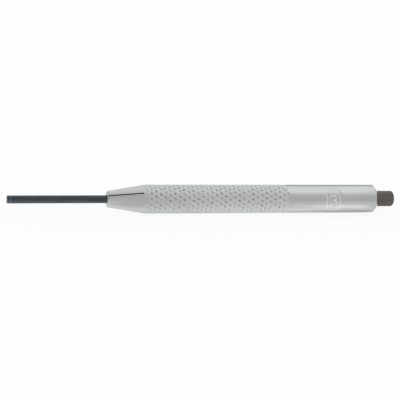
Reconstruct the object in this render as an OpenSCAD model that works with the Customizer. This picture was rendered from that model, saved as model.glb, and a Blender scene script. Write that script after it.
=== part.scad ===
// Pin punch with a knurled guide sleeve. Millimetres, lying along X with its tip at the low end.
// The origin is on the axis, midway between the tip of the pin and the end of the head.

/* [Pin] */
// Diameter of the pin
pin_d = 2.9; // [2.4:0.1:3.4]
// Length of pin in front of the nose with the sleeve drawn back
pin_out_l = 36.6; // [25:0.1:50]
// Length of pin still in front of the nose with the sleeve pushed forward
tip_proud_l = 0.6; // [0.2:0.1:3]
// Bevel round the tip of the pin
tip_bevel = 0.2; // [0.1:0.05:0.4]
// Length of the upset head at the inner end of the pin
pin_head_l = 2.4; // [1.5:0.1:4]
// Room round the upset head in the nut
pin_head_room = 0.3; // [0.1:0.05:0.5]

/* [Guide sleeve] */
// Wall of the sleeve round the rear bush
sleeve_wall = 1.05; // [0.9:0.05:2]
// Length of the conical nose
nose_l = 14.7; // [11:0.1:20]
// Width of the front face of the nose round the pin
nose_face_w = 1.55; // [1:0.05:2]
// Bevel round the front face of the nose
nose_bevel = 0.4; // [0.1:0.05:0.6]
// Length of the plain rear part
plain_l = 35.8; // [25:0.1:50]
// Length of the bevel at the rear end, along the axis
end_bevel_l = 1.7; // [0.8:0.1:2.5]
// Width of the small flat face round the shank at the rear end
end_face_w = 0.3; // [0.1:0.05:0.6]

/* [Bore of the sleeve] */
// Length of the land in the nose that guides the pin
land_l = 6; // [4:0.1:8]
// Step from the land out to the relief bore
relief_step = 1.1; // [0.8:0.05:1.4]
// Step from the shank out to the main bore
bore_step = 0.8; // [0.6:0.05:1.2]
// Distance from the front face of the nose to the bottom of the main bore
bore_start_l = 19.4; // [16:0.1:24]
// Half angle of the taper behind the land
taper_angle = 59; // [45:1:70]

/* [Slits in the nose] */
// Length of each slit, from the front face of the nose
slit_l = 13; // [8:0.1:14]
// Width of each slit
slit_w = 0.45; // [0.3:0.05:0.8]
// Angle of the slits from upright, about the axis
slit_angle = 35; // [0:1:90]

/* [Knurl] */
// Length of the knurled grip behind the nose
knurl_l = 54.4; // [30:0.1:70]
// Number of diamonds round the grip
knurl_count = 17; // [12:1:24]
// Length of one diamond along the axis
diamond_l = 3.6; // [2.5:0.1:5]
// Depth of the diamonds
knurl_depth = 0.4; // [0.2:0.05:0.5]
// Lean of the whole pattern from the axis, in degrees
lean_angle = 6.2; // [0:0.1:12]

/* [Rear bush] */
// Step from the main bore out to the screwed part of the bush
bush_step = 0.5; // [0.3:0.05:0.8]
// Length of the bush
bush_l = 10.9; // [6:0.1:16]
// Width of the two spanner slots in its end
spanner_slot_w = 1; // [0.6:0.1:1.6]
// Depth of the spanner slots
spanner_slot_depth = 1.2; // [0.8:0.1:2]

/* [Striking shank] */
// Diameter of the shank
shank_d = 6; // [5.2:0.1:8]
// Length of the head behind the sleeve
head_out_l = 6.8; // [5:0.1:12]
// Rounding of the edge of the head
head_round = 0.6; // [0.3:0.1:1.2]
// Width of the shoulder round the screwed stud at the front of the shank
stud_shoulder = 0.5; // [0.3:0.05:0.6]
// Length of the stud
stud_l = 4; // [3:0.1:6]
// Depth of the groove for the stop ring
groove_depth = 0.6; // [0.4:0.05:0.9]

/* [Pin nut] */
// Thickness of the wall that holds the pin's head
nut_wall_l = 4; // [2:0.1:6]
// Depth of the two spanner flats
nut_flat_depth = 0.5; // [0.3:0.05:0.7]
// Length of the spanner flats, from the front of the nut
nut_flat_l = 4.5; // [3:0.1:6]

/* [Stop ring] */
// Width of the ring along the axis
ring_w = 1.2; // [0.8:0.1:2]
// Gap in the split ring
ring_gap = 1.2; // [0.6:0.1:2]

/* [Hidden] */
// Radial clearance of the pin in the nose and in the nut
pin_clear = 0.05;
// Radial clearance of the shank in the rear bush
shank_clear = 0.05;
// Radial clearance of the nut and the ring in the main bore
bore_clear = 0.08;
// Clearance of the ring in its groove
ring_clear = 0.05;
// Clearance between screwed pieces
thread_clear = 0.02;
// Gap left at each end stop
stop_gap = 0.1;
// Overrun of cuts past the faces they open
over = 0.5;
// Step down from the plain surface to the ends of the knurl
knurl_end_step = 0.04;
// Steps in the quarter round on the edge of the head
round_steps = 6;
$fn = 72;

// Radii, worked outwards from the pin and from the shank
pin_r = pin_d / 2;
land_r = pin_r + pin_clear;
relief_r = land_r + relief_step;
nose_face_r = pin_r + nose_face_w;
shank_r = shank_d / 2;
groove_r = shank_r - groove_depth;
stud_r = shank_r - stud_shoulder;
pin_head_r = stud_r - pin_head_room;
end_face_r = shank_r + end_face_w;
bore_r = shank_r + bore_step;
ring_r = bore_r - bore_clear;
nut_r = bore_r - bore_clear;
bush_r = bore_r + bush_step;
sleeve_r = bush_r + sleeve_wall;
travel = pin_out_l - tip_proud_l;

// Stations along the axis, from the tip of the pin to the end of the head
total_l = pin_out_l + nose_l + knurl_l + plain_l + end_bevel_l + head_out_l;
tip_x = -total_l / 2;
nose_x = tip_x + pin_out_l;
knurl_x = nose_x + nose_l;
plain_x = knurl_x + knurl_l;
bevel_x = plain_x + plain_l;
sleeve_end_x = bevel_x + end_bevel_l;
head_x = sleeve_end_x + head_out_l;
bore_x = nose_x + bore_start_l;
bush_x = sleeve_end_x - bush_l;
nut_x = bore_x + stop_gap;
pin_head_x = nut_x + nut_wall_l;
stud_x = pin_head_x + pin_head_l;
shoulder_x = stud_x + stud_l;
ring_x = bush_x - travel - stop_gap - ring_w;

// Places a shape that was made along Z on the axis of the tool
module along(x) {
    translate([x, 0, 0])
        rotate([0, 90, 0])
            children();
}

// Round bar of radius r from one station to another
module bar(from, to, r) {
    along(from)
        cylinder(h = to - from, r = r);
}

// The knurl is a net of ridges round a bar. Ridges cross at the high points, and each
// diamond between them is a pit with one low point. It runs on under the nose, as the nose
// is turned on the knurled bar and cuts the first diamonds open.
nose_slope = (sleeve_r - nose_face_r) / nose_l;
knurl_start_x = knurl_x - knurl_depth / nose_slope - diamond_l / 2;
knurl_bar_l = plain_x - knurl_start_x;
knurl_rows = round(2 * knurl_bar_l / diamond_l);
knurl_turn = knurl_bar_l * tan(lean_angle) / sleeve_r * 180 / PI;

function is_end_row(row) = row == 0 || row == knurl_rows;
function is_crossing(row, col) = (row + col) % 2 == 0;
function knurl_r(row, col) =
    is_end_row(row) ? sleeve_r - knurl_end_step
    : is_crossing(row, col) ? sleeve_r
    : sleeve_r - knurl_depth;
function knurl_angle(row, col) = col * 180 / knurl_count + knurl_turn * row / knurl_rows;
function knurl_point(row, col) = [
    knurl_r(row, col) * cos(knurl_angle(row, col)),
    knurl_r(row, col) * sin(knurl_angle(row, col)),
    knurl_bar_l * row / knurl_rows
];
function knurl_index(row, col) = row * 2 * knurl_count + col % (2 * knurl_count);

// Two triangles for one quarter of four neighbouring diamonds, split along the ridge
function knurl_patch(row, col) =
    let (
        a = knurl_index(row, col),
        b = knurl_index(row, col + 1),
        c = knurl_index(row + 1, col + 1),
        d = knurl_index(row + 1, col)
    )
    is_crossing(row, col) ? [[a, d, c], [a, c, b]] : [[a, d, b], [d, c, b]];

module knurled_bar() {
    last_col = 2 * knurl_count - 1;
    points = [for (row = [0:knurl_rows], col = [0:last_col]) knurl_point(row, col)];
    sides = [for (row = [0:knurl_rows - 1], col = [0:last_col], face = knurl_patch(row, col)) face];
    front = [for (col = [0:last_col]) knurl_index(0, col)];
    rear = [for (col = [last_col:-1:0]) knurl_index(knurl_rows, col)];
    along(knurl_start_x)
        polyhedron(points = points, faces = concat(sides, [front, rear]), convexity = 10);
}

// All that the turning of the nose leaves standing, wider than the bar behind the nose
module nose_cut() {
    wide_l = nose_l + over;
    wide_r = sleeve_r + nose_slope * over;
    along(nose_x)
        rotate_extrude()
            polygon([
                [0, 0],
                [nose_face_r - nose_bevel, 0],
                [nose_face_r + nose_slope * nose_bevel, nose_bevel],
                [wide_r, wide_l],
                [wide_r, sleeve_end_x + over - nose_x],
                [0, sleeve_end_x + over - nose_x]
            ]);
}

// Plain rear part with its bevel, as the half outline that is turned about the axis
module plain_form() {
    along(plain_x)
        rotate_extrude()
            polygon([
                [0, 0],
                [sleeve_r, 0],
                [sleeve_r, plain_l],
                [end_face_r, plain_l + end_bevel_l],
                [0, plain_l + end_bevel_l]
            ]);
}

// The core runs through all three lengths and joins them
module sleeve_bar() {
    core_r = sleeve_r - 2 * knurl_depth;
    union() {
        bar(nose_x, knurl_start_x, sleeve_r);
        knurled_bar();
        plain_form();
        bar(nose_x, bevel_x, core_r);
    }
}

// The stepped bore, as the half outline that is turned about the axis
module sleeve_bore() {
    screwed_r = bush_r + thread_clear;
    taper_l = (relief_r - land_r) / tan(taper_angle);
    screwed_start_l = bush_x - nose_x;
    open_end_l = sleeve_end_x + over - nose_x;
    along(nose_x)
        rotate_extrude()
            polygon([
                [0, -over],
                [land_r, -over],
                [land_r, land_l - taper_l],
                [relief_r, land_l],
                [relief_r, bore_start_l],
                [bore_r, bore_start_l],
                [bore_r, screwed_start_l],
                [screwed_r, screwed_start_l],
                [screwed_r, open_end_l],
                [0, open_end_l]
            ]);
}

// One saw cut through the axis makes the two slits
module nose_slits() {
    rotate([slit_angle, 0, 0])
        translate([nose_x - over, -slit_w / 2, -sleeve_r])
            cube([slit_l + over, slit_w, 2 * sleeve_r]);
}

module guide_sleeve() {
    color([0.78, 0.79, 0.79])
        difference() {
            intersection() {
                sleeve_bar();
                nose_cut();
            }
            sleeve_bore();
            nose_slits();
        }
}

module rear_bush() {
    color([0.72, 0.73, 0.73])
        difference() {
            intersection() {
                bar(bush_x, sleeve_end_x, bush_r);
                plain_form();
            }
            bar(bush_x - over, sleeve_end_x + over, shank_r + shank_clear);
            translate([sleeve_end_x - spanner_slot_depth, -spanner_slot_w / 2, -sleeve_r])
                cube([spanner_slot_depth + over, spanner_slot_w, 2 * sleeve_r]);
        }
}

module stop_ring() {
    color([0.35, 0.36, 0.38])
        difference() {
            bar(ring_x, ring_x + ring_w, ring_r);
            bar(ring_x - over, ring_x + ring_w + over, groove_r + ring_clear);
            translate([ring_x - over, -ring_gap / 2, 0])
                cube([ring_w + 2 * over, ring_gap, bore_r]);
        }
}

// The struck edge of the shank as a quarter round, in a half outline of that length
function head_edge(length) = [
    for (step = [0:round_steps])
        let (turn = 90 * step / round_steps)
        [shank_r - head_round * (1 - cos(turn)), length - head_round * (1 - sin(turn))]
];

// Stud, shoulder, ring groove and head, turned from one outline
module striking_shank() {
    whole_l = head_x - stud_x;
    groove_front_l = ring_x - ring_clear - stud_x;
    groove_rear_l = ring_x + ring_w + ring_clear - stud_x;
    front = [
        [0, 0],
        [stud_r, 0],
        [stud_r, stud_l],
        [shank_r, stud_l],
        [shank_r, groove_front_l],
        [groove_r, groove_front_l],
        [groove_r, groove_rear_l],
        [shank_r, groove_rear_l]
    ];
    color([0.34, 0.32, 0.31])
        along(stud_x)
            rotate_extrude()
                polygon(concat(front, head_edge(whole_l), [[0, whole_l]]));
}

module pin_nut() {
    color([0.55, 0.56, 0.58])
        difference() {
            bar(nut_x, shoulder_x, nut_r);
            bar(nut_x - over, pin_head_x + over, land_r);
            bar(pin_head_x, shoulder_x + over, stud_r + thread_clear);
            for (side = [0, 180])
                rotate([side, 0, 0])
                    translate([nut_x - over, -bore_r, nut_r - nut_flat_depth])
                        cube([nut_flat_l + over, 2 * bore_r, bore_r]);
        }
}

module drive_pin() {
    stem_l = pin_head_x - tip_x;
    color([0.2, 0.22, 0.24])
        along(tip_x)
            rotate_extrude()
                polygon([
                    [0, 0],
                    [pin_r - tip_bevel, 0],
                    [pin_r, tip_bevel],
                    [pin_r, stem_l],
                    [pin_head_r, stem_l],
                    [pin_head_r, stem_l + pin_head_l],
                    [0, stem_l + pin_head_l]
                ]);
}

guide_sleeve();
rear_bush();
stop_ring();
striking_shank();
pin_nut();
drive_pin();
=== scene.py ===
import math

import bpy
import numpy as np
from mathutils import Matrix, Vector

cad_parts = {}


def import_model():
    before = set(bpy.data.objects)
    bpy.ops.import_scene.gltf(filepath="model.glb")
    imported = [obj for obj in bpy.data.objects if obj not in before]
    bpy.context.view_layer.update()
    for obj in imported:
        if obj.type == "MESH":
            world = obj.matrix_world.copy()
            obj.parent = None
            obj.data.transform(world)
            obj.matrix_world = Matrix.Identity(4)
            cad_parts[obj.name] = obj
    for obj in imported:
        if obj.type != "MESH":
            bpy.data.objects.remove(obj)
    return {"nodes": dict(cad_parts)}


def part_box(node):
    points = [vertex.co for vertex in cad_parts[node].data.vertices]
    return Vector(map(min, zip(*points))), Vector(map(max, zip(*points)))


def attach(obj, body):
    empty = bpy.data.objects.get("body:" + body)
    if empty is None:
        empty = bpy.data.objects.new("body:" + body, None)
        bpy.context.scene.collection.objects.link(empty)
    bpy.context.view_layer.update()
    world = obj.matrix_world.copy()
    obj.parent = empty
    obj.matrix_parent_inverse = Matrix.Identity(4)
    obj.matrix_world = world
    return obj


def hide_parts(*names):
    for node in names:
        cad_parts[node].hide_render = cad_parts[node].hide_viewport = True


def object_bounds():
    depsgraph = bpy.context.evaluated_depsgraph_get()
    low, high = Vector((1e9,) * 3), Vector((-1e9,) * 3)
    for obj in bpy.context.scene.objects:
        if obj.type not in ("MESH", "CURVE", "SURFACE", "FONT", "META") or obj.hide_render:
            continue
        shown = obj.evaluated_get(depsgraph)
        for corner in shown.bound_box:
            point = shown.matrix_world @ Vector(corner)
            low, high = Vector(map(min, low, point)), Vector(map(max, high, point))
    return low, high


bl_info = {
    "name": "Pin Punch with Guide Sleeve",
    "version": (1, 0, 0),
    "blender": (4, 5, 0),
    "location": "View3D > Sidebar > Pin Punch",
    "description": "Dresses the packed model of a pin punch with a knurled guide sleeve",
    "category": "Mesh",
}

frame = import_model()
CAD_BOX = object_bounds()
SLEEVE_LOW, SLEEVE_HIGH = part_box("guide_sleeve")
BUSH_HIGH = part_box("rear_bush")[1]
SHANK_LOW, SHANK_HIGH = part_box("striking_shank")
PIN_LOW, PIN_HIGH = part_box("drive_pin")
MM = 0.001


def length(name, description, default):
    """A property for a length in metres."""
    return bpy.props.FloatProperty(
        name=name, description=description, default=default, min=0.0, unit="LENGTH",
        subtype="DISTANCE", precision=6,
    )


def share(name, description, default, high=1.0):
    """A property for a plain number from nought up."""
    return bpy.props.FloatProperty(name=name, description=description, default=default, min=0.0, max=high)


def angle(name, description, degrees):
    """A property for an angle, whose default is given in degrees."""
    return bpy.props.FloatProperty(
        name=name, description=description, default=math.radians(degrees), unit="ROTATION", subtype="ANGLE"
    )


def colour(name, description, default):
    """A property for a linear colour."""
    return bpy.props.FloatVectorProperty(
        name=name, description=description, default=default, size=3, min=0.0, max=1.0, subtype="COLOR"
    )


class SleeveSettings(bpy.types.PropertyGroup):
    """Sizes and finish of the plated guide sleeve."""

    nose_length: length("Nose Length", "Length of the conical nose", 14.7 * MM)
    nose_face_radius: length("Nose Face Radius", "Radius of the front face before its bevel", 3.0 * MM)
    nose_bevel: length("Nose Bevel", "Bevel round the front face", 0.4 * MM)
    plain_length: length("Plain Length", "Length of the plain rear part", 35.8 * MM)
    end_bevel_length: length("End Bevel Length", "Length of the rear bevel along the axis", 1.7 * MM)
    end_face_radius: length("End Face Radius", "Radius at which the rear bevel ends", 3.3 * MM)
    land_radius: length("Land Radius", "Radius of the bore that guides the pin", 1.5 * MM)
    land_length: length("Land Length", "Length of the land in the nose", 6.0 * MM)
    land_taper: angle("Land Taper", "Slope of the drilled step behind the land", 59.0)
    relief_radius: length("Relief Radius", "Radius of the relief bore behind the land", 2.6 * MM)
    relief_end: length("Relief End", "Distance from the front face to the main bore", 19.4 * MM)
    bore_radius: length("Bore Radius", "Radius of the main bore", 3.8 * MM)
    thread_radius: length("Thread Radius", "Radius of the bore for the rear bush", 4.32 * MM)
    thread_length: length("Thread Length", "Length of the bore for the rear bush", 10.9 * MM)
    slit_length: length("Slit Length", "Length of the slits from the front face", 13.0 * MM)
    slit_width: length("Slit Width", "Width of the slits", 0.45 * MM)
    slit_angle: angle("Slit Angle", "Turn of the slits from upright", 35.0)
    knurl_count: bpy.props.IntProperty(
        name="Diamonds Round", description="Number of diamonds round the grip", default=17, min=6, max=40
    )
    diamond_length: length("Diamond Length", "Length of one diamond along the axis", 3.6 * MM)
    knurl_depth: length("Knurl Depth", "Depth of the diamonds", 0.4 * MM)
    pit_depth: length("Pit Depth", "Depth at which the pits are flat", 0.25 * MM)
    knurl_lean: angle("Knurl Lean", "Lean of the whole pattern from the axis", 6.2)
    ridge_share: share("Ridge Share", "Share of the way to a pit's centre that the rounded ridge takes", 0.5)
    pit_radius: length("Pit Radius", "Radius at which a pit runs out into the ridges", 0.95 * MM)
    stamp_depth: length("Stamp Depth", "Depth of the stamped number and its border", 0.13 * MM)
    stamp_place: length("Stamp Place", "Place of the stamp's middle along the axis", 48.9 * MM)
    stamp_turn: angle("Stamp Turn", "Turn of the stamp's middle from underneath", 248.0)
    plating: colour("Plating", "Colour of the bright plating", (0.633, 0.647, 0.645))
    # This colour stands for soiling in the knurl's pits and also paints their shade; it darkens the front
    # rim too.
    grime_and_shade: colour("Grime", "Colour of what settles in the knurl", (0.2, 0.21, 0.205))
    gloss: share("Roughness", "Roughness of the plating", 0.22)
    grip_wear: share("Grip Wear", "Roughness that handling adds to the ridges of the grip", 0.42)
    nose_wear: share("Nose Wear", "Roughness that handling adds to the nose", 0.25)
    grip_plating: colour("Grip Plating", "Colour of the ridges of the grip", (0.75, 0.76, 0.765))
    stamp_plating: colour("Stamp Plating", "Colour in the strokes of the stamp", (0.85, 0.86, 0.86))


class PunchSettings(bpy.types.PropertyGroup):
    """Sizes and finishes of the pin, the shank and what joins them."""

    pin_radius: length("Pin Radius", "Radius of the pin", 1.45 * MM)
    tip_bevel: length("Tip Bevel", "Bevel round the tip of the pin", 0.2 * MM)
    pin_head_length: length("Pin Head Length", "Length of the pin's upset head", 2.4 * MM)
    head_round: length("Head Round", "Rounding of the struck edge", 0.6 * MM)
    stud_length: length("Stud Length", "Length of the screwed stud", 4.0 * MM)
    stud_radius: length("Stud Radius", "Radius of the screwed stud", 2.5 * MM)
    groove_radius: length("Groove Radius", "Radius at the bottom of the ring groove", 2.4 * MM)
    pin_oxide: colour("Pin Oxide", "Blue-black finish of the pin", (0.082, 0.098, 0.108))
    shank_oxide: colour("Shank Oxide", "Warm black finish of the shank", (0.15, 0.133, 0.127))
    bare_steel: colour("Bare Steel", "Steel where the finish is worn off", (0.5, 0.49, 0.47))


class StageSettings(bpy.types.PropertyGroup):
    """Floor, light and camera of the picture."""

    distance: length("Camera Distance", "Distance from the camera to the tool", 0.492)
    focal: share("Focal Length", "Focal length in millimetres", 118.3, 500.0)
    nearness: angle("Tip Nearness", "Turn of the camera towards the tip", 16.0)
    height: angle("Camera Height", "Height of the camera above the floor, about the axis", 30.0)
    roll: angle("Camera Roll", "Turn of the picture about the view", -0.16)
    aim_forward: length("Aim Forward", "How far towards the tip the camera aims", 2.78 * MM)
    aim_low: length("Aim Low", "How far below the axis the camera aims", 0.38 * MM)
    backdrop: colour("Backdrop", "Colour of floor and backdrop", (0.9, 0.9, 0.9))
    room_light: share("Room Light", "Brightness of the whole room", 1.0, 2.0)
    rear_light: share("Rear Light", "How much brighter the room is towards the rear of the tool", 0.4)
    lamp_power: share("Lamp Power", "Power of the softbox in watts", 0.35, 10.0)


# Brightness of the room by the turn about the tool's axis, in degrees from the camera's side: grey
# round the camera and bright where the soft light hangs. The grip and the rear mirror the first,
# which is darker again behind the tool, and the pin and the nose mirror the second.
ROOM = (
    (180, 0.4), (150, 0.4), (140, 0.5), (129, 0.68), (113, 0.96), (100, 1.03), (88, 0.87),
    (77, 0.81), (67, 0.77), (58, 0.78), (49, 0.83), (41, 0.81), (30, 0.67), (0, 0.575),
)
TIP_ROOM = (
    (180, 1.0), (156, 0.9), (130, 0.95), (100, 0.95), (85, 0.7),
    (70, 0.44), (50, 0.36), (30, 0.44), (0, 0.74),
)
# Brightness that metal sees in the floor at the nose, at the grip and at the rear, by the place
# across the tool in millimetres, towards the camera first. These are painted: a painted shadow of
# the tool under itself, and a painted pool of light in front of it, both seen only in reflections.
NOSE_POOL = ((-30, 0.56), (-12, 0.56), (-8, 0.68), (-4.5, 0.95), (3, 0.95), (30, 0.8))
GRIP_POOL = (
    (-30, 0.8), (-13, 0.8), (-10, 0.84), (-8.3, 0.94), (-6.8, 1.04), (-5.5, 1.0), (-4.3, 0.8),
    (-2.3, 0.68), (-1, 0.42), (3, 0.38), (8, 0.75), (30, 0.85),
)
REAR_POOL = (
    (-30, 0.68), (-26, 0.7), (-18, 0.95), (-13.2, 1.12), (-10.3, 1.14), (-8.3, 1.02), (-6.8, 0.93),
    (-5.5, 0.77), (-4.3, 0.62), (-3.2, 0.5), (-2, 0.52), (2, 0.6), (8, 0.9), (30, 0.85),
)
POOL_TOP = 1.2  # the brightness at the top of the ramps of the floor
# Painted levels of the floor's glow in reflections beyond the ends of the tool.
OPEN_FLOOR = 0.88  # what metal sees in the floor beyond the tip of the pin
OPEN_REAR = 0.68  # what it sees beyond the rear end
FLOOR_WHITE = 1.035  # strength of the floor's white share
SEEN_WHITE = 0.87  # that share to the camera; the rest is matt and keeps the tool's shadow
PASSED_WHITE = 0.8  # that share through something clear
# Where those ramps start or end on the floor, and the length that each change takes.
NOSE_FROM = (-42.0 * MM, 4.0 * MM)
NOSE_TILL = (24.0 * MM, 20.0 * MM)
GRIP_FROM = (-32.0 * MM, 10.0 * MM)
REAR_FROM = (36.0 * MM, 15.0 * MM)
END_FROM = (60.0 * MM, 5.0 * MM)
FAR_FROM = (25.0 * MM, 20.0 * MM)
# The room's lean towards the rear of the tool, as the x of a direction in it.
ROOM_FROM = (0.14, 0.091)  # where ROOM takes over from TIP_ROOM, and over how much
EVEN_LEAN = 0.35  # where the room is as bright as its ramps say
LEAST_LEAN = -0.25  # how far below that it goes on getting darker


class Wire:
    """A shader value that takes part in Python sums, each of which adds the Math node it needs."""

    def __init__(self, tree, socket):
        self.tree = tree
        self.socket = socket

    def _math(self, operation, first, second):
        node = self.tree.nodes.new("ShaderNodeMath")
        node.operation = operation
        for socket, value in zip(node.inputs, (first, second)):
            if isinstance(value, Wire):
                self.tree.links.new(value.socket, socket)
            else:
                socket.default_value = value
        return Wire(self.tree, node.outputs[0])

    def __add__(self, other):
        return self._math("ADD", self, other)

    def __radd__(self, other):
        return self._math("ADD", other, self)

    def __sub__(self, other):
        return self._math("SUBTRACT", self, other)

    def __rsub__(self, other):
        return self._math("SUBTRACT", other, self)

    def __mul__(self, other):
        return self._math("MULTIPLY", self, other)

    def __rmul__(self, other):
        return self._math("MULTIPLY", other, self)

    def __truediv__(self, other):
        return self._math("DIVIDE", self, other)

    def __pow__(self, other):
        return self._math("POWER", self, other)

    def least(self, other):
        """The smaller of the two."""
        return self._math("MINIMUM", self, other)

    def greatest(self, other):
        """The larger of the two."""
        return self._math("MAXIMUM", self, other)

    def sine(self):
        """The sine of it, taken in radians."""
        return self._math("SINE", self, 0.0)

    def clamped(self):
        """It, held between 0 and 1."""
        clamp = self._math("ADD", self, 0.0)
        clamp.socket.node.use_clamp = True
        return clamp


class Tree:
    """A node tree that is written as Python: add() makes any node but the Math ones that Wire adds."""

    def __init__(self, tree):
        self.tree = tree
        tree.nodes.clear()

    def add(self, kind, settings=None, values=None, output=0):
        """A node of that type, its settings first, then the values or links of its sockets. Returns
        one output."""
        node = self.tree.nodes.new(kind)
        for name, value in (settings or {}).items():
            if name == "stops":
                ramp = node.color_ramp
                while len(ramp.elements) < len(value):
                    ramp.elements.new(0.5)
                for element, (position, level) in zip(ramp.elements, value):
                    element.position = position
                    element.color = (level, level, level, 1.0)
            else:
                setattr(node, name, value)
        for name, value in (values or {}).items():
            socket = node.inputs[name]
            if isinstance(value, Wire):
                self.tree.links.new(value.socket, socket)
            elif socket.type == "RGBA" and len(value) == 3:
                socket.default_value = (*value, 1.0)
            else:
                socket.default_value = value
        return Wire(self.tree, node.outputs[output]) if node.outputs else None

    def mix(self, factor, first, second):
        """Two colours mixed by a factor."""
        settings = {"data_type": "RGBA"}
        return self.add("ShaderNodeMix", settings, {0: factor, 6: first, 7: second}, output=2)

    def ramp(self, place, stops):
        """Greys by a place from 0 to 1, from stops of (place, level)."""
        return self.add("ShaderNodeValToRGB", {"stops": stops}, {0: place})

    def vector(self, operation, first, second=(0.0, 0.0, 0.0), output=0):
        """A Vector Math node."""
        return self.add("ShaderNodeVectorMath", {"operation": operation}, {0: first, 1: second}, output)

    def place(self):
        """x, y and z of the point in the frame of its piece, in metres."""
        spot = self.add("ShaderNodeTexCoord", output=3)
        return spot, [self.add("ShaderNodeSeparateXYZ", None, {0: spot}, output=axis) for axis in range(3)]

    def noise(self, spot, stretch, scale, detail=3.0):
        """Noise about 0.5 on coordinates that are stretched along the axes."""
        stretched = self.vector("MULTIPLY", spot, stretch)
        return self.add("ShaderNodeTexNoise", None, {"Vector": stretched, "Scale": scale, "Detail": detail})


def after(value, start, reach):
    """A mask that is 0 up to a start and 1 from a reach past it on."""
    return ((value - start) / reach).clamped()


def before(value, end, reach):
    """A mask that is 1 until a reach short of an end and 0 from the end on."""
    return ((end - value) / reach).clamped()


def scaled(levels, factor):
    """A colour made darker or lighter."""
    return tuple(factor * level for level in levels)


def steel(name, paint):
    """A metallic material whose changing sockets come from paint(tree)."""
    material = bpy.data.materials.new(name)
    material.use_nodes = True
    tree = Tree(material.node_tree)
    surface = tree.add("ShaderNodeBsdfPrincipled", None, paint(tree))
    tree.add("ShaderNodeOutputMaterial", None, {"Surface": surface})
    return material


def turning_marks(tree, spot, x, pitch, strength):
    """Normal of a surface with fine lathe marks across the axis."""
    wander = tree.noise(spot, (1.0, 0.05, 0.05), 900.0)
    marks = (x * (2 * math.pi / pitch) + wander * 9.0).sine()
    return tree.add("ShaderNodeBump", None, {"Height": marks, "Strength": strength, "Distance": 2e-6})


def sleeve_places():
    """Where along the axis the knurl, the plain part and the rear bevel start, and the nose's slope."""
    s = bpy.context.scene.punch_sleeve
    knurl_x = SLEEVE_LOW[0] + s.nose_length
    bevel_x = BUSH_HIGH[0] - s.end_bevel_length
    slope = (SLEEVE_HIGH[1] - s.nose_face_radius) / s.nose_length
    return knurl_x, bevel_x - s.plain_length, bevel_x, slope


def plated_steel(name="bright_plating"):
    """Satin bright plating, smudged by handling, with soiling and painted shade at the bottom of the knurl's
    pits, and a front face painted lighter.
    """
    s = bpy.context.scene.punch_sleeve
    full = SLEEVE_HIGH[1]
    knurl_x, plain_x, _, slope = sleeve_places()

    def paint(tree):
        spot, (x, y, z) = tree.place()
        out = (y * y + z * z) ** 0.5
        # Masks of the pits, nose, grip, bevelled rim, front face and stamp, each by where it lies.
        skin = ((x - knurl_x) * slope + full).least(full)
        pit = before(out, skin, s.pit_depth)
        fore = before(x, plain_x, 0.3 * MM)
        past_nose = after(x, knurl_x - 0.64 * MM, 0.8 * MM)
        nose = 1.0 - past_nose
        grip = past_nose * fore
        pitted = after(x, knurl_x - 3.0 * MM, 1.0 * MM) * fore
        front = before(x, SLEEVE_LOW[0] + 0.5 * MM, 0.2 * MM)
        rim = front * after(out, 2.5 * MM, 0.15 * MM)
        face = front - rim
        stroke = before(out, full, s.stamp_depth) * after(out, full - 0.5 * MM, 0.1 * MM)
        panel = after(x, s.stamp_place - 3.9 * MM, 0.2 * MM)
        panel = panel * before(x, s.stamp_place + 4.1 * MM, 0.2 * MM)
        mark = stroke * panel
        # Soiling and painted shade in the pits, a darker front rim, and plating that is lighter and duller
        # where it is handled; the front face is lighter from rubbed wear and a painted highlight.
        patch = tree.noise(spot, (1.0, 1.0, 1.0), 700.0)
        # Darkening of the pits: settled soiling and painted shade in the hollows; the front rim is made
        # darker as well.
        grime_and_pit_shade = (pit ** 8.0 * (patch * 2.0 - 0.4)).clamped() * pitted * 0.9 + rim * 0.25
        smudge = tree.noise(spot, (0.35, 1.0, 1.0), 160.0)
        speck = tree.noise(spot, (1.0, 1.0, 1.0), 2600.0, 2.0)
        uneven = (smudge * 2.4 - 0.7).clamped()
        bright = tree.mix(uneven, scaled(s.plating, 0.93), scaled(s.plating, 1.06))
        bright = tree.mix(grip, bright, s.grip_plating)
        # The front face is painted lighter: rubbed wear together with a painted highlight.
        bright = tree.mix((mark + face + nose * 0.3).clamped(), bright, s.stamp_plating)
        wear = grip * (1.0 - pit ** 3.0) * s.grip_wear + nose * s.nose_wear + face * 0.35 + mark * 0.2
        rough = (smudge - 0.5) * 0.14 + (speck - 0.5) * 0.05 + wear + s.gloss
        return {
            "Base Color": tree.mix(grime_and_pit_shade, bright, s.grime_and_shade),
            "Metallic": 1.0,
            "Roughness": rough.clamped(),
            "Normal": turning_marks(tree, spot, x, 0.16 * MM, 0.25),
        }

    return steel(name, paint)


def turned_steel():
    """Bare turned steel of the pin nut."""

    def paint(tree):
        spot, (x, _, _) = tree.place()
        stain = tree.noise(spot, (1.0, 1.0, 1.0), 420.0)
        uneven = (stain * 2.0 - 0.5).clamped()
        return {
            "Base Color": tree.mix(uneven, (0.42, 0.42, 0.41), (0.56, 0.56, 0.55)),
            "Metallic": 1.0,
            "Roughness": (stain * 0.2 + 0.22).clamped(),
            "Normal": turning_marks(tree, spot, x, 0.2 * MM, 0.5),
        }

    return steel("turned_steel", paint)


def spring_steel():
    """Oiled blue-grey steel of the stop ring."""

    def paint(tree):
        spot, _ = tree.place()
        stain = tree.noise(spot, (1.0, 1.0, 1.0), 600.0)
        uneven = (stain * 2.0 - 0.5).clamped()
        return {
            "Base Color": tree.mix(uneven, (0.25, 0.27, 0.3), (0.36, 0.36, 0.36)),
            "Metallic": 1.0,
            "Roughness": (stain * 0.25 + 0.2).clamped(),
        }

    return steel("spring_steel", paint)


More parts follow.
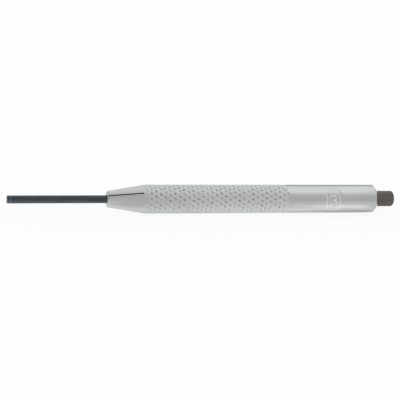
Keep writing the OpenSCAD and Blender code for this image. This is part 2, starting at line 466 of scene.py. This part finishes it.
def pin_oxide():
    """Blue-black oxide on ground steel, with a rubbed ring behind the tip."""
    s = bpy.context.scene.punch_steel

    def paint(tree):
        spot, (x, _, _) = tree.place()
        cloud = tree.noise(spot, (0.25, 1.0, 1.0), 700.0)
        streak = tree.noise(spot, (0.06, 1.0, 1.0), 3800.0)
        uneven = (cloud * 2.2 - 0.6).clamped()
        finish = tree.mix(uneven, scaled(s.pin_oxide, 0.72), scaled(s.pin_oxide, 1.2))
        behind_tip = x - float(PIN_LOW[0])
        ring = after(behind_tip, 0.9 * MM, 0.1 * MM) * before(behind_tip, 1.4 * MM, 0.2 * MM)
        face = before(behind_tip, 0.1 * MM, 0.05 * MM)
        return {
            "Base Color": tree.mix((ring * 0.2 + face * 0.1).clamped(), finish, s.bare_steel),
            "Metallic": 1.0,
            "Roughness": (cloud * 0.1 + streak * 0.12 + 0.26).clamped(),
            "Normal": turning_marks(tree, spot, x, 0.11 * MM, 0.3),
        }

    return steel("pin_oxide", paint)


def shank_oxide():
    """Warm black oxide, satin, with steel showing where the hammer has struck."""
    s = bpy.context.scene.punch_steel

    def paint(tree):
        spot, (x, y, z) = tree.place()
        out = (y * y + z * z) ** 0.5
        cloud = tree.noise(spot, (0.5, 1.0, 1.0), 380.0)
        speck = tree.noise(spot, (1.0, 1.0, 1.0), 2400.0, 2.0)
        uneven = (cloud * 2.4 - 0.7).clamped()
        finish = tree.mix(uneven, scaled(s.shank_oxide, 0.8), scaled(s.shank_oxide, 1.2))
        rim = after(out, 2.35 * MM, 0.25 * MM)
        end = after(x, float(SHANK_HIGH[0]) - 0.5 * MM, 0.35 * MM)
        struck = (end * (rim * 0.5 + 0.35) * (speck * 2.6 - 0.7).clamped()).clamped()
        return {
            "Base Color": tree.mix(struck, finish, s.bare_steel),
            "Metallic": struck,
            "Specular IOR Level": 0.25,
            "Roughness": (cloud * 0.14 + speck * 0.1 + 0.4).clamped(),
            "Normal": turning_marks(tree, spot, x, 0.14 * MM, 0.35),
        }

    return steel("shank_oxide", paint)


def link(name, mesh, body, slot, *nodes, material):
    """Makes the piece that stands for those CAD nodes and rides on their body."""
    mesh.materials.append(material)
    piece = bpy.data.objects.new(name, mesh)
    bpy.context.scene.collection.objects.link(piece)
    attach(piece, body)
    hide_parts(*nodes)
    return piece


def dress(node, material):
    """Gives a CAD node its finish."""
    slots = frame["nodes"][node].data.materials
    slots.clear()
    slots.append(material)


def eased(outline, reach, steps=4, most=0.45):
    """An outline of (x, radius) with each inner corner rounded over a reach along both its sides, or
    over the most that a corner may take of a side."""
    points = [Vector(p) for p in outline]
    out = [tuple(points[0])]
    for last, corner, following in zip(points, points[1:], points[2:]):
        ends = []
        for side in (last, following):
            ends.append(corner + (side - corner) * min(reach / (side - corner).length, most))
        for step in range(steps + 1):
            t = step / steps
            spot = ends[0] * (1 - t) ** 2 + corner * 2 * t * (1 - t) + ends[1] * t**2
            out.append(tuple(spot))
    out.append(tuple(points[-1]))
    return out


def finished(mesh, corner=32.0):
    """Smooth shading that stops at corners sharper than so many degrees."""
    mesh.update()
    mesh.validate()
    mesh.shade_smooth()
    mesh.set_sharp_from_angle(angle=math.radians(corner))
    return mesh


def turned(name, outline, columns=96):
    """A solid turned about X from an outline that starts and ends on the axis."""
    turn = np.linspace(0.0, 2 * math.pi, columns, endpoint=False)
    points, starts = [], []
    for x, radius in outline:
        starts.append(len(points))
        around = turn if radius > 0 else turn[:1]
        points += [(x, radius * math.sin(t), -radius * math.cos(t)) for t in around]
    faces = []
    for (_, r0), (_, r1), a, b in zip(outline, outline[1:], starts, starts[1:]):
        for c in range(columns):
            d = (c + 1) % columns
            if r0 <= 0:
                faces.append((a, b + c, b + d))
            elif r1 <= 0:
                faces.append((a + c, b, a + d))
            else:
                faces.append((a + c, b + c, b + d, a + d))
    mesh = bpy.data.meshes.new(name)
    mesh.from_pydata(points, [], faces)
    return finished(mesh)


def arc(x, y, wide, high, degrees):
    """Points round a centre at those turns."""
    turns = [math.radians(turn) for turn in degrees]
    return [(x + wide * math.cos(turn), y + high * math.sin(turn)) for turn in turns]


def stamp_strokes():
    """The stamped panel as line segments in millimetres: a plain border and the number 3."""
    half_width, half_height, corner = 2.6, 4.2, 1.1
    border = []
    for x, y, start in ((1, 1, 0), (-1, 1, 90), (-1, -1, 180), (1, -1, 270)):
        turns = [start + 22.5 * step for step in range(5)]
        border += arc(x * (half_width - corner), y * (half_height - corner), corner, corner, turns)
    upper = arc(0.0, 1.1, 1.0, 1.0, range(150, -91, -20))
    lower = arc(0.0, -1.1, 1.15, 1.2, range(90, -151, -20))
    lines = border + border[:1], upper, lower
    return [(a, b) for line in lines for a, b in zip(line, line[1:])]


def stamped(x, turn, radius):
    """Depth of the stamp at each point of the plain part."""
    s = bpy.context.scene.punch_sleeve
    half_stroke, wall = 0.3, 0.2
    along = (x - s.stamp_place) / MM
    around = ((turn - s.stamp_turn + math.pi) % (2 * math.pi) - math.pi) * -radius / MM
    nearest = np.full(np.broadcast(along, around).shape, np.inf)
    for (ax, ay), (bx, by) in stamp_strokes():
        dx, dy = bx - ax, by - ay
        t = np.clip(((along - ax) * dx + (around - ay) * dy) / (dx * dx + dy * dy), 0.0, 1.0)
        nearest = np.minimum(nearest, np.hypot(along - ax - t * dx, around - ay - t * dy))
    shape = np.clip((half_stroke - nearest) / wall, 0.0, 1.0)
    return s.stamp_depth * shape * shape * (3 - 2 * shape)


FINE = 8  # mesh steps round the grip for half a diamond
FINE_ALONG = 11  # mesh steps along the grip for half a diamond
CLOSE_ROWS = 4  # half diamonds by the nose that have twice as many
PIT_EDGE = 0.05  # how softly the floor of a pit runs into its walls
KNURL_END = 0.3 * MM  # the length over which the last diamonds run out
CORNER = 0.12 * MM  # how far the sleeve's corners are rounded
STAMP_HALF = 3.3 * MM  # half the length that the stamp's mesh rows take up
STAMP_ROW = 0.13 * MM  # the spacing of those rows
PLAIN_ROWS = (36.0 * MM, 41.0 * MM), (56.0 * MM, 61.0 * MM)  # the rows before and behind the stamp


def knurl_rows():
    """The rows of the knurled grip: their stations, their turn, the radius at every column, and which
    way the face behind each point is halved."""
    s = bpy.context.scene.punch_sleeve
    full = SLEEVE_HIGH[1]
    knurl_x, plain_x, _, slope = sleeve_places()
    start = knurl_x - s.knurl_depth / slope - s.diamond_length / 2
    rows = round(2 * (plain_x - start) / s.diamond_length)
    pitch = (plain_x - start) / rows
    plain_rows = np.arange(CLOSE_ROWS * FINE_ALONG, rows * FINE_ALONG + 1) / FINE_ALONG
    steps = np.concatenate([np.arange(0, CLOSE_ROWS, 0.5 / FINE_ALONG), plain_rows])
    row = steps[:, None]
    col = np.arange(2 * s.knurl_count * FINE)[None, :] / FINE
    x = start + row * pitch

    def off_ridge(lines):
        return np.abs(lines - np.round(lines)) * 2

    lines = (row + col) / 2, (row - col) / 2
    t = np.minimum(*map(off_ridge, lines))
    first, second = (line - np.floor(line) - 0.5 for line in lines)
    off_pit = np.hypot((first + second) * pitch, (first - second) * math.pi * full / s.knurl_count)
    t = np.minimum(t, 1 - off_pit / s.pit_radius)
    ridge = (np.maximum(t, 0.0) / s.ridge_share) ** 2
    corner = np.sqrt((ridge - 1) ** 2 + PIT_EDGE)
    depth = s.pit_depth * 0.5 * (ridge + math.sqrt(1 + PIT_EDGE) - corner)
    run_out = np.clip((plain_x - x) / KNURL_END, 0.0, 1.0)
    radius = np.minimum(full - depth * run_out, full + np.minimum(x - knurl_x, 0.0) * slope)
    turn = math.tan(s.knurl_lean) / full * (x - start)
    even = np.floor(row + 1e-6).astype(int) + np.floor(col + 1e-6).astype(int)
    return x[:, 0], turn[:, 0], radius, even % 2 == 0


def sleeve_mesh():
    """The whole sleeve as one closed skin: bore, nose, knurl, plain part with stamp, rear bevel."""
    s = bpy.context.scene.punch_sleeve
    full, front, rear = SLEEVE_HIGH[1], SLEEVE_LOW[0], SLEEVE_HIGH[0]
    _, plain_x, bevel_x, slope = sleeve_places()
    columns = 2 * s.knurl_count * FINE
    base = np.arange(columns) * 2 * math.pi / columns
    row_x, row_turn, row_radius, row_even = knurl_rows()

    nose = eased(
        [
            (front, s.land_radius + CORNER),
            (front, s.nose_face_radius - s.nose_bevel),
            (front + s.nose_bevel, s.nose_face_radius + slope * s.nose_bevel),
            (row_x[0], s.nose_face_radius + slope * (row_x[0] - front)),
        ],
        CORNER,
    )
    bevel_slope = (full - s.end_face_radius) / s.end_bevel_length
    rear_radius = full - bevel_slope * (rear - bevel_x)
    bevel = eased([(bevel_x - 1.0 * MM, full), (bevel_x, full), (rear, rear_radius)], CORNER)
    stamp_low, stamp_high = s.stamp_place - STAMP_HALF, s.stamp_place + STAMP_HALF
    stations = [plain_x + 0.35 * MM, *PLAIN_ROWS[0], stamp_low - 0.2 * MM]
    stations += [*np.arange(stamp_low, stamp_high + STAMP_ROW, STAMP_ROW), *PLAIN_ROWS[1]]
    thread_x = BUSH_HIGH[0] - s.thread_length
    taper = (s.relief_radius - s.land_radius) / math.tan(s.land_taper)
    bore = [
        (rear, s.thread_radius),
        (thread_x, s.thread_radius),
        (thread_x, s.bore_radius),
        (front + s.relief_end, s.bore_radius),
        (front + s.relief_end, s.relief_radius),
        (front + s.land_length, s.relief_radius),
        (front + s.land_length - taper, s.land_radius),
        (front + CORNER, s.land_radius),
    ]
    rows = [(x, 0.0, np.full(columns, r)) for x, r in nose[:-1]]
    rows += list(zip(row_x, row_turn, row_radius))
    last = row_turn[-1]
    for x in stations:
        rows.append((x, last, full - stamped(x, base + last, full)))
    rows += [(x, last, np.full(columns, r)) for x, r in bevel]
    rows += [(x, 0.0, np.full(columns, r)) for x, r in bore]

    points = np.empty((len(rows), columns, 3))
    for index, (x, turn, radius) in enumerate(rows):
        points[index, :, 0] = x
        points[index, :, 1] = radius * np.sin(base + turn)
        points[index, :, 2] = -radius * np.cos(base + turn)
    even = np.zeros((len(rows), columns), bool)
    first = len(nose) - 1
    even[first : first + len(row_x)] = row_even

    here = np.arange(len(rows) * columns).reshape(len(rows), columns)
    below = np.roll(here, -1, axis=0)
    a, b = here, below
    c, d = np.roll(below, -1, axis=1), np.roll(here, -1, axis=1)
    halves = [
        np.where(even[..., None], np.stack([a, b, c], -1), np.stack([a, b, d], -1)),
        np.where(even[..., None], np.stack([a, c, d], -1), np.stack([b, c, d], -1)),
    ]
    faces = np.concatenate([h.reshape(-1, 3) for h in halves])
    mesh = bpy.data.meshes.new("sleeve")
    mesh.from_pydata(points.reshape(-1, 3).tolist(), [], faces.tolist())
    mesh.update()
    return mesh


def saw_slits(piece):
    """Cuts the two slits of the nose, one saw cut through the axis."""
    s = bpy.context.scene.punch_sleeve
    over = SLEEVE_HIGH[1] * 1.2
    low = Vector((SLEEVE_LOW[0] - 1.0 * MM, -s.slit_width / 2, -over))
    high = Vector((SLEEVE_LOW[0] + s.slit_length, s.slit_width / 2, over))
    corners = [(x, y, z) for x in (low.x, high.x) for y in (low.y, high.y) for z in (low.z, high.z)]
    blade = bpy.data.meshes.new("blade")
    blade.from_pydata(
        corners, [], [(0, 1, 3, 2), (4, 6, 7, 5), (0, 4, 5, 1), (2, 3, 7, 6), (0, 2, 6, 4), (1, 5, 7, 3)]
    )
    blade.transform(Matrix.Rotation(s.slit_angle, 4, "X"))
    cutter = bpy.data.objects.new("blade", blade)
    bpy.context.scene.collection.objects.link(cutter)
    cut = piece.modifiers.new("slits", "BOOLEAN")
    cut.operation, cut.solver, cut.object = "DIFFERENCE", "EXACT", cutter
    depsgraph = bpy.context.evaluated_depsgraph_get()
    result = bpy.data.meshes.new_from_object(piece.evaluated_get(depsgraph))
    piece.modifiers.clear()
    whole, piece.data = piece.data, result
    bpy.data.meshes.remove(whole)
    bpy.data.objects.remove(cutter)
    bpy.data.meshes.remove(blade)
    finished(result)


class PUNCH_OT_sleeve(bpy.types.Operator):
    """Builds the plated guide sleeve with its slotted nose, diamond knurl and stamped number"""

    bl_idname = "punch.sleeve"
    bl_label = "Guide Sleeve"

    def execute(self, context):
        piece = link(
            "sleeve", sleeve_mesh(), "sleeve", "plated_steel", "guide_sleeve", material=plated_steel()
        )
        saw_slits(piece)
        return {"FINISHED"}


class PUNCH_OT_rear_bush(bpy.types.Operator):
    """Gives the rear bush its bright turned finish"""

    bl_idname = "punch.rear_bush"
    bl_label = "Rear Bush"

    def execute(self, context):
        dress("rear_bush", plated_steel("bush_plating"))
        return {"FINISHED"}


class PUNCH_OT_shank(bpy.types.Operator):
    """Builds the striking shank with its stud, ring groove and rounded head"""

    bl_idname = "punch.shank"
    bl_label = "Striking Shank"

    def execute(self, context):
        s = context.scene.punch_steel
        front, head, radius = SHANK_LOW[0], SHANK_HIGH[0], SHANK_HIGH[1]
        ring_low, ring_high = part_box("stop_ring")
        play = 0.05 * MM
        groove_front, groove_rear = ring_low[0] - play, ring_high[0] + play
        body = [
            (front, 0.0),
            (front, s.stud_radius),
            (front + s.stud_length, s.stud_radius),
            (front + s.stud_length, radius),
            (groove_front, radius),
            (groove_front, s.groove_radius),
            (groove_rear, s.groove_radius),
            (groove_rear, radius),
        ]
        turns = [90 - 11.25 * step for step in range(9)]
        edge = arc(head - s.head_round, radius - s.head_round, s.head_round, s.head_round, turns)
        mesh = turned("shank", body + edge + [(head, radius * 0.4), (head, 0.0)])
        link("shank", mesh, "punch", "shank_steel", "striking_shank", material=shank_oxide())
        return {"FINISHED"}


class PUNCH_OT_pin(bpy.types.Operator):
    """Builds the drive pin with its bevelled tip and upset head"""

    bl_idname = "punch.pin"
    bl_label = "Drive Pin"

    def execute(self, context):
        s = context.scene.punch_steel
        tip, inner, head_radius = PIN_LOW[0], PIN_HIGH[0], PIN_HIGH[1]
        radius, bevel = s.pin_radius, s.tip_bevel
        neck = inner - s.pin_head_length
        stem = [(tip, radius * 0.3), (tip, radius - bevel), (tip + bevel, radius), (neck, radius)]
        upset = [(neck, head_radius), (inner, head_radius), (inner, 0.0)]
        mesh = turned("pin", [(tip, 0.0)] + eased(stem, 0.06 * MM) + upset, 64)
        link("pin", mesh, "punch", "pin_steel", "drive_pin", material=pin_oxide())
        return {"FINISHED"}


class PUNCH_OT_inner(bpy.types.Operator):
    """Gives the pin nut and the stop ring their finishes"""

    bl_idname = "punch.inner"
    bl_label = "Nut and Stop Ring"

    def execute(self, context):
        dress("pin_nut", turned_steel())
        dress("stop_ring", spring_steel())
        return {"FINISHED"}


def camera_direction():
    """Unit vector from the tool to the camera."""
    s = bpy.context.scene.punch_stage
    across = math.cos(s.nearness)
    return Vector((-math.sin(s.nearness), -across * math.cos(s.height), across * math.sin(s.height)))


def set_camera():
    """The photograph's camera: above and in front, on the tip's side, with the tool level."""
    s = bpy.context.scene.punch_stage
    back = camera_direction()
    level = (Vector((1, 0, 0)) - back * back.x).normalized()
    over = back.cross(level)
    right = level * math.cos(s.roll) + over * math.sin(s.roll)
    up = back.cross(right)
    aim = Vector((-s.aim_forward, 0, 0)) - up * s.aim_low
    data = bpy.data.cameras.new("camera")
    data.lens, data.sensor_width = s.focal, 36.0
    data.clip_start, data.clip_end = 0.01, 50.0
    camera = bpy.data.objects.new("camera", data)
    bpy.context.scene.collection.objects.link(camera)
    turn = Matrix((right, up, back)).transposed().to_4x4()
    camera.matrix_world = Matrix.Translation(aim + back * s.distance) @ turn
    bpy.context.scene.camera = camera


def set_floor():
    """A pale floor that is white to the camera and keeps the tool's shadow there; in reflections it glows
    with painted pools of light and a painted shadow of the tool.
    """
    s = bpy.context.scene.punch_stage
    mesh = bpy.data.meshes.new("floor")
    half, low = 6.0, CAD_BOX[0][2]
    corners = [(-half, -half, low), (half, -half, low), (half, half, low), (-half, half, low)]
    mesh.from_pydata(corners, [], [(0, 1, 2, 3)])
    floor = bpy.data.objects.new("floor", mesh)
    bpy.context.scene.collection.objects.link(floor)
    material = bpy.data.materials.new("pale_floor")
    material.use_nodes = True
    tree = Tree(material.node_tree)
    _, (x, y, _) = tree.place()
    # The pools are painted light and painted shadow, which the floor shows only in reflections.
    reach = 2 * REAR_POOL[-1][0]
    pools = []
    for levels in (NOSE_POOL, GRIP_POOL, REAR_POOL):
        stops = [(across / reach + 0.5, level / POOL_TOP) for across, level in levels]
        pools.append(tree.ramp(y / (reach * MM) + 0.5, stops))
    nose_pool, grip_pool, rear_pool = pools
    pool = tree.mix(after(x, *REAR_FROM), grip_pool, rear_pool)
    beside_nose = after(x, *NOSE_FROM) * before(x, *NOSE_TILL)
    past_end = after(x, *END_FROM)
    open_floor = (nose_pool - OPEN_FLOOR) * beside_nose + past_end * (OPEN_REAR - OPEN_FLOOR)
    open_floor = open_floor + OPEN_FLOOR
    beside_sleeve = after(x, *GRIP_FROM) * before(x, BUSH_HIGH[0], 4.0 * MM)
    pool = (pool - open_floor) * beside_sleeve + open_floor
    pool = pool * (1.0 - after(y, *FAR_FROM) * 0.5)
    seen = tree.add("ShaderNodeLightPath", output=0) * SEEN_WHITE
    mirrored = tree.add("ShaderNodeLightPath", output=3)
    passed = tree.add("ShaderNodeLightPath", output=6) * PASSED_WHITE
    matt = tree.add("ShaderNodeBsdfDiffuse", None, {"Color": s.backdrop})
    # In reflections the floor glows with the painted pools; to the camera it is evenly white, with a matt
    # share that keeps the real shadow.
    strength = mirrored * (pool * POOL_TOP - FLOOR_WHITE) + FLOOR_WHITE
    white = tree.add("ShaderNodeEmission", None, {"Color": (1.0, 1.0, 1.0), "Strength": strength})
    mixed = (seen + mirrored + passed).clamped()
    shown = tree.add("ShaderNodeMixShader", None, {0: mixed, 1: matt, 2: white})
    tree.add("ShaderNodeOutputMaterial", None, {"Surface": shown})
    mesh.materials.append(material)


def set_light():
    """A soft room that is brightest above the tool, and a softbox."""
    s = bpy.context.scene.punch_stage
    world = bpy.data.worlds.new("soft_room")
    bpy.context.scene.world = world
    world.use_nodes = True
    tree = Tree(world.node_tree)
    towards = tree.add("ShaderNodeTexCoord", output=0)
    across = tree.vector("MULTIPLY", towards, (0.0, 1.0, 1.0))
    side = (camera_direction() * Vector((0.0, 1.0, 1.0))).normalized()
    facing = tree.vector("DOT_PRODUCT", tree.vector("NORMALIZE", across), tuple(side), output=1)
    rooms = []
    for levels in (TIP_ROOM, ROOM):
        stops = [(math.cos(math.radians(degrees)) / 2 + 0.5, level) for degrees, level in levels]
        rooms.append(tree.ramp(facing * 0.5 + 0.5, stops))
    rearward = tree.add("ShaderNodeSeparateXYZ", None, {0: towards}, output=0)
    both = tree.mix(after(rearward, *ROOM_FROM), *rooms)
    brighter = (rearward - EVEN_LEAN).greatest(LEAST_LEAN) * s.rear_light
    strength = (brighter + 1.0) * s.room_light
    room = tree.add("ShaderNodeBackground", None, {"Color": both, "Strength": strength})
    tree.add("ShaderNodeOutputWorld", None, {"Surface": room})

    lamp = bpy.data.lights.new("softbox", "AREA")
    lamp.shape, lamp.size, lamp.size_y = "RECTANGLE", 0.9, 0.5
    lamp.energy = s.lamp_power
    softbox = bpy.data.objects.new("softbox", lamp)
    bpy.context.scene.collection.objects.link(softbox)
    softbox.location = (0.0, 0.12, 0.75)
    softbox.rotation_euler = (-softbox.location).to_track_quat("-Z", "Y").to_euler()


class PUNCH_OT_stage(bpy.types.Operator):
    """Sets the floor, the soft light and the camera"""

    bl_idname = "punch.stage"
    bl_label = "Stage"

    def execute(self, context):
        set_camera()
        set_floor()
        set_light()
        context.scene.view_settings.view_transform = "Standard"
        return {"FINISHED"}


OPERATORS = (
    PUNCH_OT_stage, PUNCH_OT_sleeve, PUNCH_OT_rear_bush, PUNCH_OT_shank, PUNCH_OT_pin, PUNCH_OT_inner,
)
SETTINGS = {
    "punch_sleeve": SleeveSettings,
    "punch_steel": PunchSettings,
    "punch_stage": StageSettings,
}


class PUNCH_PT_panel(bpy.types.Panel):
    """Lists the pieces and their settings"""

    bl_idname = "PUNCH_PT_panel"
    bl_label = "Pin Punch"
    bl_space_type = "VIEW_3D"
    bl_region_type = "UI"
    bl_category = "Pin Punch"

    def draw(self, context):
        column = self.layout.column()
        for operator in OPERATORS:
            column.operator(operator.bl_idname)
        for group in SETTINGS:
            settings = getattr(context.scene, group)
            box = self.layout.box()
            for name in settings.__annotations__:
                box.prop(settings, name)


def register():
    for settings in (*SETTINGS.values(), *OPERATORS, PUNCH_PT_panel):
        bpy.utils.register_class(settings)
    for group, settings in SETTINGS.items():
        setattr(bpy.types.Scene, group, bpy.props.PointerProperty(type=settings))


def unregister():
    for group in SETTINGS:
        delattr(bpy.types.Scene, group)
    for settings in reversed((*SETTINGS.values(), *OPERATORS, PUNCH_PT_panel)):
        bpy.utils.unregister_class(settings)


def main():
    register()
    bpy.ops.punch.stage()
    bpy.ops.punch.sleeve()
    bpy.ops.punch.rear_bush()
    bpy.ops.punch.shank()
    bpy.ops.punch.pin()
    bpy.ops.punch.inner()


if __name__ == "__main__":
    main()
